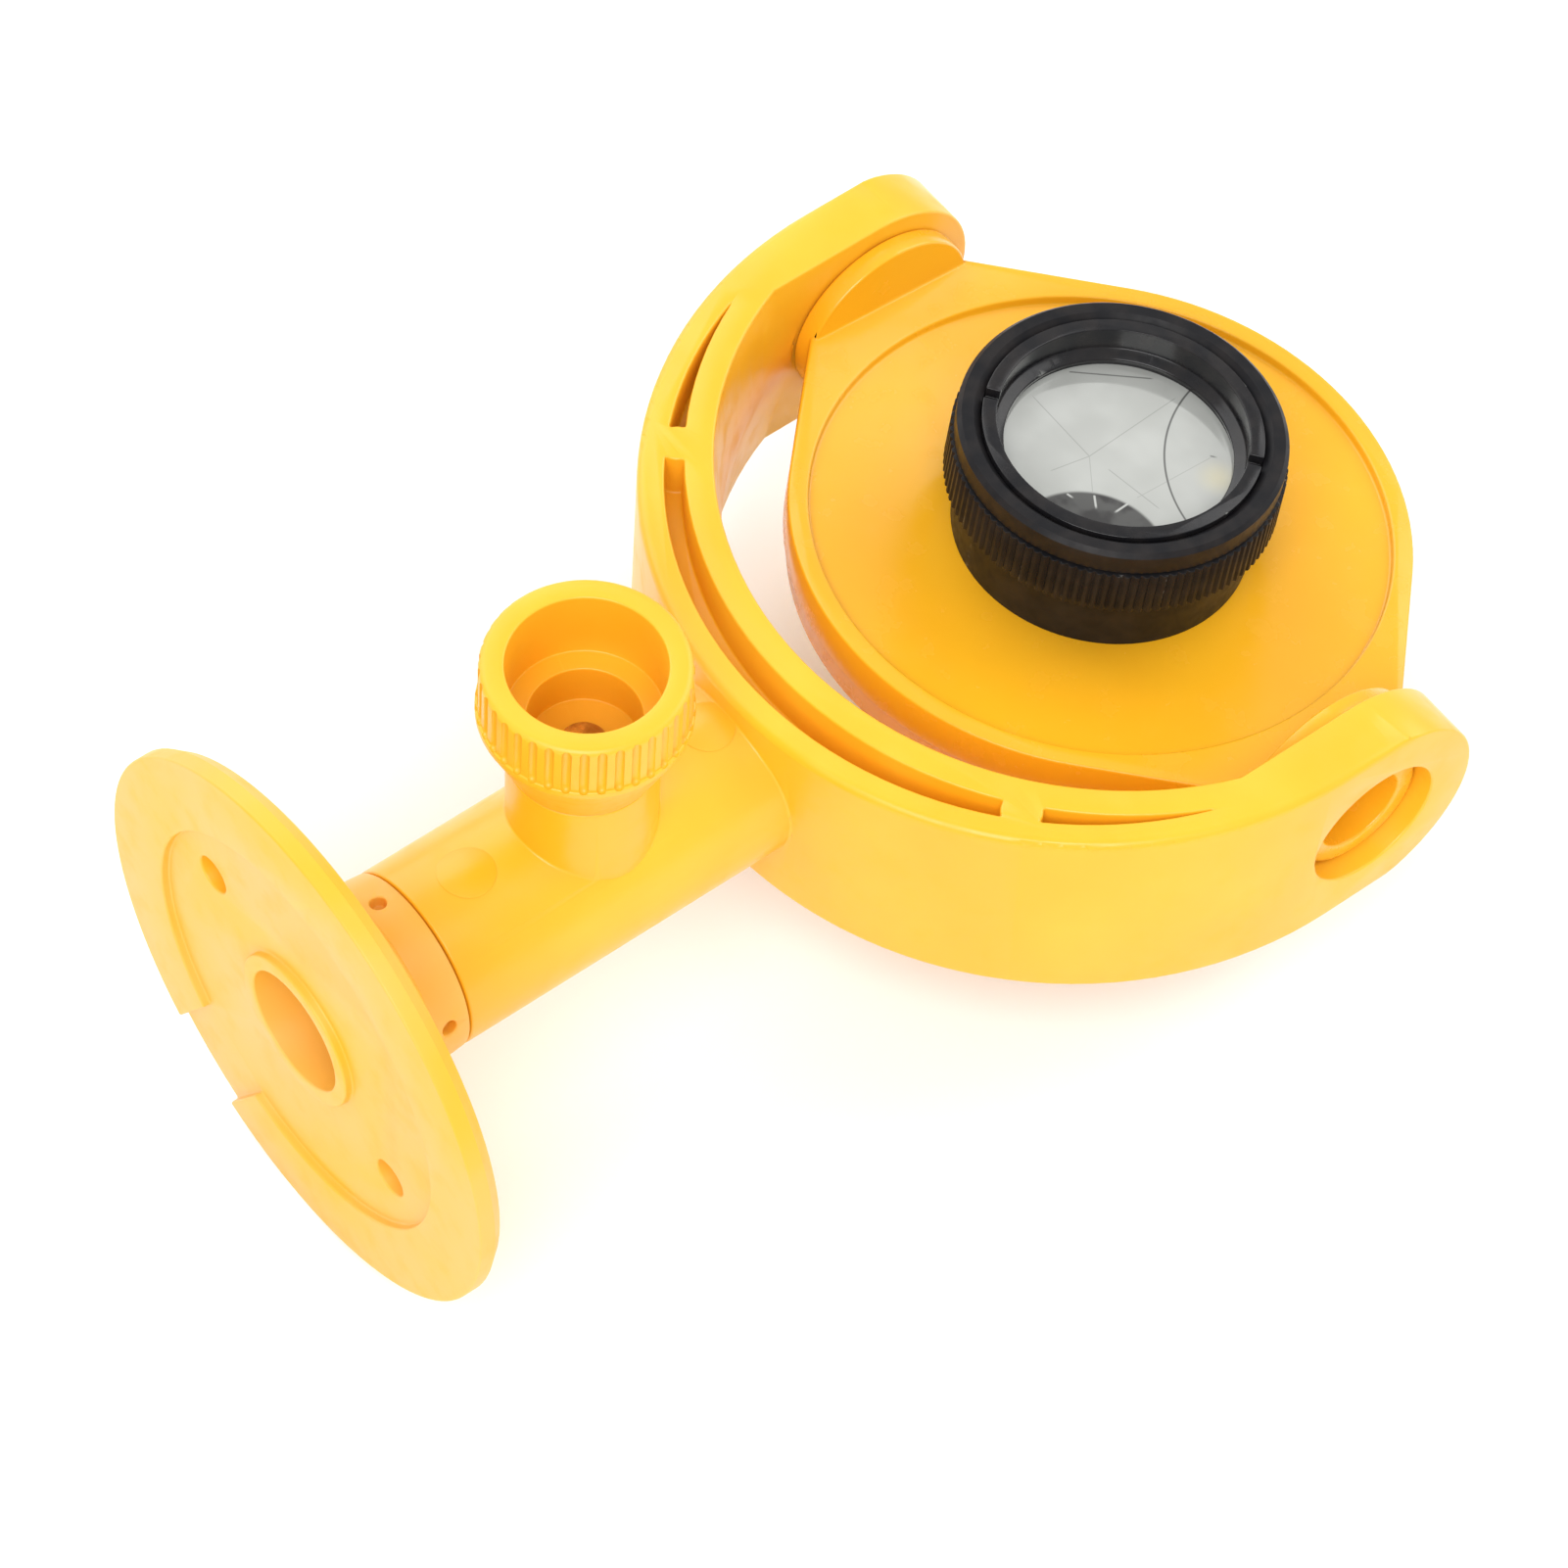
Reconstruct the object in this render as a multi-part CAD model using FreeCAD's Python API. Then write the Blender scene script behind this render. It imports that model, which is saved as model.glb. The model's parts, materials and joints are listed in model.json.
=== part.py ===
import FreeCAD, Part
import math
import os

# Wall-mounted survey prism: a screw-on flange carries a swivelling stem and yoke, and the
# yoke carries a tilting round plate with the corner-cube prism in its threaded housing.
#
# Frame, in millimetres: the origin is the centre of the flange's mounting face. +Y runs along
# the stem, +X along the tilt pivot, and +Z is up, on the prism's side. The plate group is drawn
# in its own frame, with the pivot as origin and the prism looking along +Z, then tilted.

V = FreeCAD.Vector
X = V(1, 0, 0)
Y = V(0, 1, 0)
Z = V(0, 0, 1)

# Clearances
RUN_FIT = 0.06            # radial, between a turning shaft and its hole
THREAD_FIT = 0.05         # radial, between a threaded piece and its hole
SEAT_GAP = 0.05           # between faces that are clamped together through a soft piece
SWIVEL_GAP = 0.2          # between the flange's collar and the stem
CLAMP_GAP = 0.15          # between the knob and the top of its boss
SIDE_GAP = 0.2            # between each lug of the plate and the ear beside it
LUG_SEAT_GAP = 0.3        # radial, between the plate's end at each lug and its seat in the yoke
SHOE_GAP = 0.2            # between the open clamp's shoe and the floor of its groove
RING_SINK = 0.1           # how far the retaining ring lies below the housing's rim

# Wall flange
FLANGE_R = 33.0
FLANGE_EDGE = 1.9
SHOULDER_IN = 1.1
SHOULDER_RISE = 1.4
CONE_END_Y = 10.6
COLLAR_TAPER = 0.4
COLLAR_END_Y = 15.3
RIM_LAND = 8.9
RECESS_DEPTH = 1.0
CENTRE_RING_STEP = 0.2
SPIGOT_R = 9.0
SPIGOT_WALL = 1.7
SPIGOT_CHAMFER = 1.1
SPIGOT_LENGTH = 33.0
SCREW_INSET = 5.6
SCREW_HOLE_R = 2.25
SCREW_LINE_DEG = -32.0
NOTCH_WIDTH = 11.0
PIN_HOLE_R = 0.9
PIN_HOLE_DEPTH = 1.6
PIN_HOLE_FROM_END = 2.7
PIN_HOLE_DEG = 12.0
PIN_HOLE_COUNT = 4

# Stem, knob boss and clamp
STEM_WALL = 1.49
STEM_LENGTH = 41.3
BORE_END_GAP = 1.2
CLAMP_FROM_STEM_END = 22.1
BOSS_WALL = 2.15
BOSS_RISE = 9.05
CLAMP_GROOVE_DEPTH = 0.7
SHOE_R = 3.0
SHOE_SIDE_GAP = 0.3
SHOE_LENGTH = 2.2
SHOE_PIN_R = 1.5
SHOE_HEAD_R = 2.6
SHOE_HEAD_HEIGHT = 0.7

# Knob
SHANK_R = 6.0
KNOB_FLOOR = 0.9
KNOB_SKIRT = 8.0
KNOB_LIP_STEP = 0.3
KNOB_LIP = 0.9
KNOB_GRIP = 6.1
KNOB_CREST_R = 11.2
KNOB_TOP_ROUND = 0.7
FLUTE_COUNT = 38
FLUTE_R = 0.8
FLUTE_DEPTH = 0.45
KNOB_WALL = 2.7
KNOB_BORE_DEPTH = 9.4
KNOB_BORE_STEP = 2.4

# Tilting plate, in its own frame
PLATE_TILT_DEG = 5.35
PLATE_R = 34.9
PLATE_FACE = 3.3
PLATE_RIM = 5.1
PLATE_SKIRT = 3.7
SKIRT_STEP = 0.7
PLATE_BORDER = 2.3
PLATE_RECESS = 1.1
WEB_THICKNESS = 2.6
SKIRT_WALL = 2.2
LUG_REACH = 5.3
LUG_THICKNESS = 2.5
LUG_BORDER = 3.28
TRUNNION_R = 8.12
TRUNNION_LENGTH = 4.9
TRUNNION_CHAMFER = 0.8
TRUNNION_WALL = 2.92
LUG_FLOOR = 1.1

# Yoke
PLATE_GAP = 6.8           # between the plate's rim and the ring's inner ridge
RIDGE_DRAFT = 1.3
RING_FOOT = 10.75
ARM_THICKNESS = 6.9
EAR_WALL = 5.47
YOKE_ROUND = 1.0
GROOVE_DEPTH = 6.0
OUTER_WALL = 3.0
INNER_WALL = 3.25
WEB_R = 2.3
WEB_DEG = 44.0

# Prism housing, in the plate's frame
HOUSING_WALL = 1.5
HOUSING_SEAT_WIDTH = 1.25
HOUSING_BASE = 7.9
KNURL_STEP = 1.9
KNURL_LENGTH = 5.9
KNURL_COUNT = 112
KNURL_DEPTH = 0.35
BAND_STEP = 0.35
BAND_LENGTH = 3.2
NECK_WIDTH = 0.35
NECK_DEPTH = 0.5
RIM_ROUND = 0.5
RIM_CHAMFER = 0.85
HOUSING_FLOOR = 1.6
NUT_WIDTH = 4.0
NUT_HEIGHT = 4.0
NUT_SLOT_WIDTH = 2.0
NUT_SLOT_DEPTH = 1.5

# Prism and what holds it, in the plate's frame
GLASS_R = 13.9
GLASS_DEPTH = 4.6
GLASS_LAND = 1.2
GLASS_CHAMFER = 0.3
GLASS_FIT = 0.1
FACET_DEG = 6.0
NEST_FLOOR = 1.34
NEST_RISE = 8.66
GASKET_STEP = 0.2
GASKET_THICKNESS = 0.5
RING_STEP = 1.7
RING_WALL = 1.65
RING_LIP_WIDTH = 1.25
RING_LIP = 0.45
RING_CONE = 0.6
RING_SLOT_WIDTH = 1.3
RING_SLOT_DEPTH = 1.3
RING_SLOT_DEG = 39.0

# Radii that follow from the sizes above
RECESS_R = FLANGE_R - RIM_LAND
SCREW_CIRCLE_R = RECESS_R - SCREW_INSET
CENTRE_RING_R = SPIGOT_R + CENTRE_RING_STEP
SPIGOT_BORE_R = SPIGOT_R - SPIGOT_WALL
GROOVE_R = SPIGOT_R - CLAMP_GROOVE_DEPTH
STEM_R = SPIGOT_R + RUN_FIT + STEM_WALL
BOSS_R = SHANK_R + THREAD_FIT + BOSS_WALL
KNOB_LIP_R = KNOB_CREST_R + KNOB_LIP_STEP
KNOB_BORE_R = KNOB_CREST_R - KNOB_WALL
KNOB_INNER_BORE_R = KNOB_BORE_R - KNOB_BORE_STEP
PLATE_RECESS_R = PLATE_R - PLATE_BORDER
LUG_R = TRUNNION_R + LUG_BORDER
TRUNNION_BORE_R = TRUNNION_R - TRUNNION_WALL
YOKE_HALF_WIDTH = TRUNNION_R + RUN_FIT + EAR_WALL
RIDGE_R = PLATE_R + PLATE_GAP
FACE_R = RIDGE_R + RIDGE_DRAFT
HOUSING_SHANK_R = GLASS_R + GLASS_FIT + HOUSING_WALL
HOUSING_BASE_R = HOUSING_SHANK_R + HOUSING_SEAT_WIDTH
KNURL_R = HOUSING_BASE_R + KNURL_STEP
BAND_R = KNURL_R - BAND_STEP
NUT_R = HOUSING_SHANK_R + NUT_WIDTH
RING_R = GLASS_R + RING_STEP
RIM_INNER_R = RING_R + THREAD_FIT + RIM_CHAMFER
RING_BORE_R = RING_R - RING_WALL
RING_LIP_R = RING_BORE_R - RING_LIP_WIDTH
GASKET_INNER_R = RING_LIP_R + GASKET_STEP

# Places that follow from the sizes above
STEM_START_Y = COLLAR_END_Y + SWIVEL_GAP
SPIGOT_TIP_Y = COLLAR_END_Y + SPIGOT_LENGTH
CLAMP_Y = STEM_START_Y + CLAMP_FROM_STEM_END
RING_BASE_Y = STEM_START_Y + STEM_LENGTH
PIVOT_Y = RING_BASE_Y + RING_FOOT + RIDGE_R
LUG_X = PLATE_R + LUG_REACH
FLANK_END = PLATE_R * math.sqrt(2) - LUG_X
LUG_SEAT_R = max(LUG_R, math.hypot(FLANK_END, PLATE_FACE)) + LUG_SEAT_GAP
ARM_INNER_X = LUG_X + SIDE_GAP
ARM_OUTER_X = ARM_INNER_X + ARM_THICKNESS
RING_CENTRE_Y = RING_BASE_Y + ARM_OUTER_X
BOSS_TOP_Z = STEM_R + BOSS_RISE
KNOB_BASE_Z = BOSS_TOP_Z + CLAMP_GAP
KNOB_LIP_Z = KNOB_BASE_Z + KNOB_SKIRT
KNOB_GRIP_Z = KNOB_LIP_Z + KNOB_LIP
KNOB_TOP_Z = KNOB_GRIP_Z + KNOB_GRIP + KNOB_TOP_ROUND
SHANK_END_Z = GROOVE_R + SHOE_GAP + SHOE_LENGTH + SEAT_GAP
PLATE_SEAT = PLATE_FACE - PLATE_RECESS
WEB_BACK = PLATE_SEAT - WEB_THICKNESS
KNURL_START = PLATE_SEAT + HOUSING_BASE
BAND_START = KNURL_START + KNURL_LENGTH
HOUSING_TOP = BAND_START + BAND_LENGTH
GLASS_FACE = HOUSING_TOP - GLASS_DEPTH
GLASS_APEX = GLASS_FACE - GLASS_LAND - GLASS_R * math.sqrt(2)
NEST_TOP = GLASS_APEX + NEST_RISE
HOUSING_END = GLASS_APEX - NEST_FLOOR - HOUSING_FLOOR
RING_BOTTOM = GLASS_FACE + GASKET_THICKNESS + SEAT_GAP
RING_TOP = HOUSING_TOP - RING_SINK

def rod(radius, start, end, axis, through=V(0, 0, 0)):
    """A cylinder between two heights along a world axis, passing through a point."""
    return Part.makeCylinder(radius, end - start, through + axis * start, axis)


def turned(profile, axis, through=V(0, 0, 0)):
    """A solid of revolution: the profile lists (radius, height along the axis) points."""
    points = [V(radius, 0, height) for radius, height in profile]
    face = Part.Face(Part.makePolygon(points + [points[0]]))
    solid = face.revolve(V(0, 0, 0), V(0, 0, 1), 360)
    solid.Placement = FreeCAD.Placement(through, FreeCAD.Rotation(V(0, 0, 1), axis))
    return solid


def slab(size_x, size_y, size_z, centre):
    """A box given by its three sizes and its centre."""
    corner = centre - V(size_x, size_y, size_z) * 0.5
    return Part.makeBox(size_x, size_y, size_z, corner)


def spun(shape, degrees, axis, centre=V(0, 0, 0)):
    """A copy of a shape turned about an axis."""
    copy = shape.copy()
    copy.rotate(centre, axis, degrees)
    return copy


CLAMP_POINT = V(0, CLAMP_Y, 0)
PIVOT = V(0, PIVOT_Y, 0)


def make_wall_flange():
    """Round flange with a recessed back, two screw holes, a drain notch and the spigot tube."""
    shoulder_y = FLANGE_EDGE + SHOULDER_RISE
    body = turned([
        (SPIGOT_BORE_R, 0),
        (FLANGE_R, 0),
        (FLANGE_R, FLANGE_EDGE),
        (FLANGE_R - SHOULDER_IN, shoulder_y),
        (STEM_R + COLLAR_TAPER, CONE_END_Y),
        (STEM_R, COLLAR_END_Y),
        (SPIGOT_R, COLLAR_END_Y),
        (SPIGOT_R, SPIGOT_TIP_Y - SPIGOT_CHAMFER),
        (SPIGOT_R - SPIGOT_CHAMFER, SPIGOT_TIP_Y),
        (SPIGOT_BORE_R, SPIGOT_TIP_Y),
    ], Y)
    recess = rod(RECESS_R, 0, RECESS_DEPTH, Y).cut(rod(CENTRE_RING_R, 0, RECESS_DEPTH, Y))
    body = body.cut(recess)

    notch_reach = FLANGE_R - CENTRE_RING_R
    notch = slab(notch_reach, RECESS_DEPTH, NOTCH_WIDTH,
                 V(CENTRE_RING_R + notch_reach, RECESS_DEPTH / 2, 0))
    body = body.cut(spun(notch, 90 - SCREW_LINE_DEG, Y))

    for side in (0, 180):
        hole = rod(SCREW_HOLE_R, 0, CONE_END_Y, Y, V(SCREW_CIRCLE_R, 0, 0))
        body = body.cut(spun(hole, side - SCREW_LINE_DEG, Y))

    groove_half = SHOE_R + SHOE_SIDE_GAP
    groove = rod(SPIGOT_R + 1, CLAMP_Y - groove_half, CLAMP_Y + groove_half, Y)
    body = body.cut(groove.cut(rod(GROOVE_R, CLAMP_Y - groove_half, CLAMP_Y + groove_half, Y)))

    pin_hole = rod(PIN_HOLE_R, STEM_R + COLLAR_TAPER - PIN_HOLE_DEPTH, STEM_R + 1, X,
                   V(0, COLLAR_END_Y - PIN_HOLE_FROM_END, 0))
    for step in range(PIN_HOLE_COUNT):
        body = body.cut(spun(pin_hole, -PIN_HOLE_DEG + step * 360 / PIN_HOLE_COUNT, Y))
    return body


def yoke_blank():
    """The solid U: half a ring that runs on as two straight arms, with rounded long edges."""
    tip_y = PIVOT_Y + YOKE_HALF_WIDTH
    left = V(-ARM_OUTER_X, RING_CENTRE_Y, -YOKE_HALF_WIDTH)
    right = V(ARM_OUTER_X, RING_CENTRE_Y, -YOKE_HALF_WIDTH)
    bottom = V(0, RING_BASE_Y, -YOKE_HALF_WIDTH)
    top_left = V(-ARM_OUTER_X, tip_y, -YOKE_HALF_WIDTH)
    top_right = V(ARM_OUTER_X, tip_y, -YOKE_HALF_WIDTH)
    outline = Part.Wire([
        Part.Arc(left, bottom, right).toShape(),
        Part.LineSegment(right, top_right).toShape(),
        Part.LineSegment(top_right, top_left).toShape(),
        Part.LineSegment(top_left, left).toShape(),
    ])
    blank = Part.Face(outline).extrude(Z * (2 * YOKE_HALF_WIDTH))
    long_edges = [edge for edge in blank.Edges
                  if edge.BoundBox.ZLength < 0.01 and edge.BoundBox.YMin < tip_y - 0.01]
    return blank.makeFillet(YOKE_ROUND, long_edges)


def yoke_opening():
    """The space inside the U: a ridged round hollow, flat ear faces and a round seat per lug."""
    beyond = YOKE_HALF_WIDTH + 1
    slope = RIDGE_DRAFT / YOKE_HALF_WIDTH
    hollow = turned([
        (0, -beyond),
        (RIDGE_R + slope * beyond, -beyond),
        (RIDGE_R, 0),
        (RIDGE_R + slope * beyond, beyond),
        (0, beyond),
    ], Z, PIVOT)
    channel = slab(2 * ARM_INNER_X, 4 * RIDGE_R, 2 * beyond, PIVOT)
    mouth = slab(2 * ARM_INNER_X, 2 * RIDGE_R, 2 * beyond, PIVOT + Y * RIDGE_R)
    lug_seats = rod(LUG_SEAT_R, -ARM_INNER_X, ARM_INNER_X, X, PIVOT)
    return hollow.common(channel).fuse(mouth).fuse(lug_seats)


def crescent_groove(floor_z):
    """One cored-out crescent in a face of the ring, left solid at its two round webs."""
    top_z = YOKE_HALF_WIDTH + 1
    centre = V(0, RING_CENTRE_Y, 0)
    groove = rod(ARM_OUTER_X - OUTER_WALL, floor_z, top_z, Z, centre)
    groove = groove.cut(rod(FACE_R + INNER_WALL, floor_z, top_z, Z, PIVOT))
    web_circle_r = ARM_OUTER_X - OUTER_WALL - WEB_R / 2
    for side in (-1, 1):
        angle = math.radians(WEB_DEG) * side
        place = centre + V(math.sin(angle), -math.cos(angle), 0) * web_circle_r
        groove = groove.cut(rod(WEB_R, floor_z, top_z, Z, place))
    return groove


def make_yoke():
    """Stem tube, knob boss and U-shaped yoke with a bearing hole in each ear, in one piece."""
    ears = rod(YOKE_HALF_WIDTH, -ARM_OUTER_X, ARM_OUTER_X, X, PIVOT)
    arms_length = PIVOT_Y - RING_BASE_Y
    arms = slab(2 * ARM_OUTER_X, arms_length, 2 * YOKE_HALF_WIDTH, PIVOT - Y * (arms_length / 2))
    body = yoke_blank().common(ears.fuse(arms))
    body = body.fuse(rod(STEM_R, STEM_START_Y, RING_BASE_Y + RING_FOOT / 2, Y))
    body = body.fuse(rod(BOSS_R, 0, BOSS_TOP_Z, Z, CLAMP_POINT))
    body = body.cut(yoke_opening())

    groove = crescent_groove(YOKE_HALF_WIDTH - GROOVE_DEPTH)
    body = body.cut(groove)
    body = body.cut(spun(groove, 180, Y))

    body = body.cut(rod(SPIGOT_R + RUN_FIT, STEM_START_Y, SPIGOT_TIP_Y + BORE_END_GAP, Y))
    body = body.cut(rod(SHANK_R + THREAD_FIT, 0, BOSS_TOP_Z, Z, CLAMP_POINT))
    return body.cut(rod(TRUNNION_R + RUN_FIT, -ARM_OUTER_X, ARM_OUTER_X, X, PIVOT))


def make_clamp_knob():
    """Hollow fluted thumb knob with a screw shank that runs down through the boss."""
    grip_end_z = KNOB_GRIP_Z + KNOB_GRIP
    floor_z = KNOB_BASE_Z + KNOB_FLOOR
    step_z = KNOB_TOP_Z - KNOB_BORE_DEPTH
    pin_hole_r = SHOE_PIN_R + RUN_FIT
    knob = turned([
        (pin_hole_r, SHANK_END_Z),
        (SHANK_R, SHANK_END_Z),
        (SHANK_R, KNOB_BASE_Z),
        (BOSS_R, KNOB_BASE_Z),
        (KNOB_LIP_R, KNOB_LIP_Z),
        (KNOB_LIP_R, KNOB_GRIP_Z),
        (KNOB_CREST_R, KNOB_GRIP_Z),
        (KNOB_CREST_R, grip_end_z),
        (KNOB_CREST_R - KNOB_TOP_ROUND, KNOB_TOP_Z),
        (KNOB_BORE_R, KNOB_TOP_Z),
        (KNOB_BORE_R, step_z),
        (KNOB_INNER_BORE_R, step_z),
        (KNOB_INNER_BORE_R, floor_z),
        (pin_hole_r, floor_z),
    ], Z, CLAMP_POINT)
    flute_circle_r = KNOB_CREST_R + FLUTE_R - FLUTE_DEPTH
    flute = rod(FLUTE_R, KNOB_GRIP_Z, grip_end_z, Z, CLAMP_POINT + X * flute_circle_r)
    flutes = [spun(flute, step * 360 / FLUTE_COUNT, Z, CLAMP_POINT) for step in range(FLUTE_COUNT)]
    return knob.cut(Part.makeCompound(flutes))


def make_clamp_shoe():
    """Brass shoe that the knob presses into the spigot's groove, on a pin with a riveted head."""
    shoe_end_z = SHANK_END_Z - SEAT_GAP
    head_z = KNOB_BASE_Z + KNOB_FLOOR + SEAT_GAP
    return turned([
        (0, shoe_end_z - SHOE_LENGTH),
        (SHOE_R, shoe_end_z - SHOE_LENGTH),
        (SHOE_R, shoe_end_z),
        (SHOE_PIN_R, shoe_end_z),
        (SHOE_PIN_R, head_z),
        (SHOE_HEAD_R, head_z),
        (SHOE_HEAD_R, head_z + SHOE_HEAD_HEIGHT),
        (0, head_z + SHOE_HEAD_HEIGHT),
    ], Z, CLAMP_POINT)


def plate_outline(radius, low, high):
    """A disc whose edge runs off at 45 degrees to the two lugs, between two heights."""
    tangent = radius / math.sqrt(2)
    end = 2 * tangent - LUG_X
    quarter = [V(LUG_X, end, low), V(tangent, tangent, low)]
    mirrored = [V(-point.x, point.y, low) for point in reversed(quarter)]
    upper = quarter + mirrored
    lower = [V(-point.x, -point.y, low) for point in upper]
    wire = Part.makePolygon(upper + lower + [upper[0]])
    lugs = Part.Face(wire).extrude(Z * (high - low))
    return lugs.fuse(rod(radius, low, high, Z))


def make_tilt_plate():
    """Dished round plate with a lug and a hollow trunnion at each end of the pivot axis."""
    rim_back = PLATE_FACE - PLATE_RIM
    skirt_back = rim_back - PLATE_SKIRT
    plate = plate_outline(PLATE_R, rim_back, PLATE_FACE)
    plate = plate.fuse(plate_outline(PLATE_R - SKIRT_STEP, skirt_back, rim_back))
    for side in (-1, 1):
        axis = X * side
        trunnion_end = LUG_X + TRUNNION_LENGTH
        trunnion = turned([
            (0, LUG_X),
            (TRUNNION_R, LUG_X),
            (TRUNNION_R, trunnion_end - TRUNNION_CHAMFER),
            (TRUNNION_R - TRUNNION_CHAMFER, trunnion_end),
            (0, trunnion_end),
        ], axis)
        lug = rod(LUG_R, LUG_X - LUG_THICKNESS, LUG_X, axis)
        bore = rod(TRUNNION_BORE_R, LUG_X - LUG_THICKNESS + LUG_FLOOR, trunnion_end, axis)
        plate = plate.fuse(lug).fuse(trunnion).cut(bore)
    plate = plate.cut(rod(PLATE_RECESS_R, PLATE_SEAT, PLATE_FACE, Z))
    plate = plate.cut(rod(PLATE_R - SKIRT_STEP - SKIRT_WALL, skirt_back, WEB_BACK, Z))
    return plate.cut(rod(HOUSING_SHANK_R + THREAD_FIT, skirt_back, PLATE_FACE, Z))


def make_prism_housing():
    """Turned housing: plain base, knurled grip, smooth top band and a closed threaded shank."""
    cavity_floor = HOUSING_END + HOUSING_FLOOR
    step = RING_BOTTOM - SEAT_GAP
    cavity_r = GLASS_R + GLASS_FIT
    thread_r = RING_R + THREAD_FIT
    band_z = BAND_START + NECK_WIDTH
    housing = turned([
        (0, HOUSING_END),
        (HOUSING_SHANK_R - RIM_ROUND, HOUSING_END),
        (HOUSING_SHANK_R, HOUSING_END + RIM_ROUND),
        (HOUSING_SHANK_R, PLATE_SEAT),
        (HOUSING_BASE_R, PLATE_SEAT),
        (HOUSING_BASE_R, KNURL_START),
        (KNURL_R, KNURL_START),
        (KNURL_R, BAND_START),
        (BAND_R - NECK_DEPTH, BAND_START),
        (BAND_R - NECK_DEPTH, band_z),
        (BAND_R, band_z),
        (BAND_R, HOUSING_TOP - RIM_ROUND),
        (BAND_R - RIM_ROUND, HOUSING_TOP),
        (RIM_INNER_R, HOUSING_TOP),
        (thread_r, HOUSING_TOP - RIM_CHAMFER),
        (thread_r, step),
        (cavity_r, step),
        (cavity_r, cavity_floor),
        (0, cavity_floor),
    ], Z)
    tooth_gap = Part.makeBox(1, 1, KNURL_LENGTH, V(0, 0, KNURL_START))
    tooth_gap.rotate(V(0, 0, 0), Z, -45)
    tooth_gap.translate(X * (KNURL_R - KNURL_DEPTH))
    gaps = [spun(tooth_gap, index * 360 / KNURL_COUNT, Z) for index in range(KNURL_COUNT)]
    return housing.cut(Part.makeCompound(gaps))


def make_rear_nut():
    """Slotted ring nut that clamps the housing to the plate from behind."""
    top = WEB_BACK
    bottom = top - NUT_HEIGHT
    nut = rod(NUT_R, bottom, top, Z).cut(rod(HOUSING_SHANK_R + THREAD_FIT, bottom, top, Z))
    slot = slab(2 * NUT_R, NUT_SLOT_WIDTH, NUT_SLOT_DEPTH, Z * (bottom + NUT_SLOT_DEPTH / 2))
    for angle in (0, 90):
        nut = nut.cut(spun(slot, angle, Z))
    return nut


def corner(apex, reach):
    """A cube standing on one corner, its body diagonal along +Z, with that corner at apex."""
    cube = Part.makeBox(reach, reach, reach)
    cube.rotate(V(0, 0, 0), Z, -45)
    cube.rotate(V(0, 0, 0), Y, -math.degrees(math.atan(math.sqrt(2))))
    cube.rotate(V(0, 0, 0), Z, FACET_DEG)
    cube.translate(Z * apex)
    return cube


def make_corner_cube():
    """Glass trihedral prism: a round front face and three square facets meeting at a point."""
    blank = turned([
        (0, GLASS_APEX),
        (GLASS_R, GLASS_APEX),
        (GLASS_R, GLASS_FACE - GLASS_CHAMFER),
        (GLASS_R - GLASS_CHAMFER, GLASS_FACE),
        (0, GLASS_FACE),
    ], Z)
    return blank.common(corner(GLASS_APEX, 4 * GLASS_R))


def make_prism_nest():
    """Rubber nest, hollowed to the prism's three facets, that cushions it from behind."""
    floor = HOUSING_END + HOUSING_FLOOR
    pad = rod(GLASS_R, floor, NEST_TOP, Z)
    return pad.cut(corner(GLASS_APEX - SEAT_GAP, 4 * GLASS_R))


def make_front_gasket():
    """Flat rubber ring between the glass and the retaining ring's lip."""
    top = GLASS_FACE + GASKET_THICKNESS
    outer = rod(GLASS_R - GLASS_FIT, GLASS_FACE, top, Z)
    return outer.cut(rod(GASKET_INNER_R, GLASS_FACE, top, Z))


def make_retaining_ring():
    """Threaded ring with a conical inner lip and two spanner slots."""
    lip_top = RING_BOTTOM + RING_LIP
    ring = turned([
        (RING_LIP_R, RING_BOTTOM),
        (RING_R, RING_BOTTOM),
        (RING_R, RING_TOP),
        (RING_BORE_R, RING_TOP),
        (RING_BORE_R, lip_top + RING_CONE),
        (RING_LIP_R, lip_top),
    ], Z)
    slot = slab(2 * RING_R, RING_SLOT_WIDTH, RING_SLOT_DEPTH, Z * (RING_TOP - RING_SLOT_DEPTH / 2))
    return ring.cut(spun(slot, RING_SLOT_DEG, Z))


def in_plate_frame(shape):
    """Puts a piece drawn in the plate's frame at the pivot, leaning back by the rest tilt."""
    placed = spun(shape, -PLATE_TILT_DEG, X)
    placed.translate(PIVOT)
    return placed


nodes = {
    "wall_flange": make_wall_flange(),
    "yoke": make_yoke(),
    "clamp_knob": make_clamp_knob(),
    "clamp_shoe": make_clamp_shoe(),
    "tilt_plate": in_plate_frame(make_tilt_plate()),
    "prism_housing": in_plate_frame(make_prism_housing()),
    "rear_nut": in_plate_frame(make_rear_nut()),
    "corner_cube": in_plate_frame(make_corner_cube()),
    "prism_nest": in_plate_frame(make_prism_nest()),
    "front_gasket": in_plate_frame(make_front_gasket()),
    "retaining_ring": in_plate_frame(make_retaining_ring()),
}

os.makedirs("parts", exist_ok=True)
for name, shape in nodes.items():
    solid = shape.removeSplitter()
    if len(solid.Solids) == 1:
        solid = solid.Solids[0]
    box = solid.BoundBox
    print(name, "valid", solid.isValid(), "solids", len(solid.Solids), "volume", round(solid.Volume, 1),
          "x", round(box.XMin, 2), round(box.XMax, 2), "y", round(box.YMin, 2), round(box.YMax, 2),
          "z", round(box.ZMin, 2), round(box.ZMax, 2))
    solid.exportStep("parts/" + name + ".step")
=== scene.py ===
import json
import logging
import math
from dataclasses import dataclass, field
from enum import Enum

import bpy
from bpy.types import Material, Node, NodeSocket, Object
from mathutils import Matrix, Vector


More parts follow.
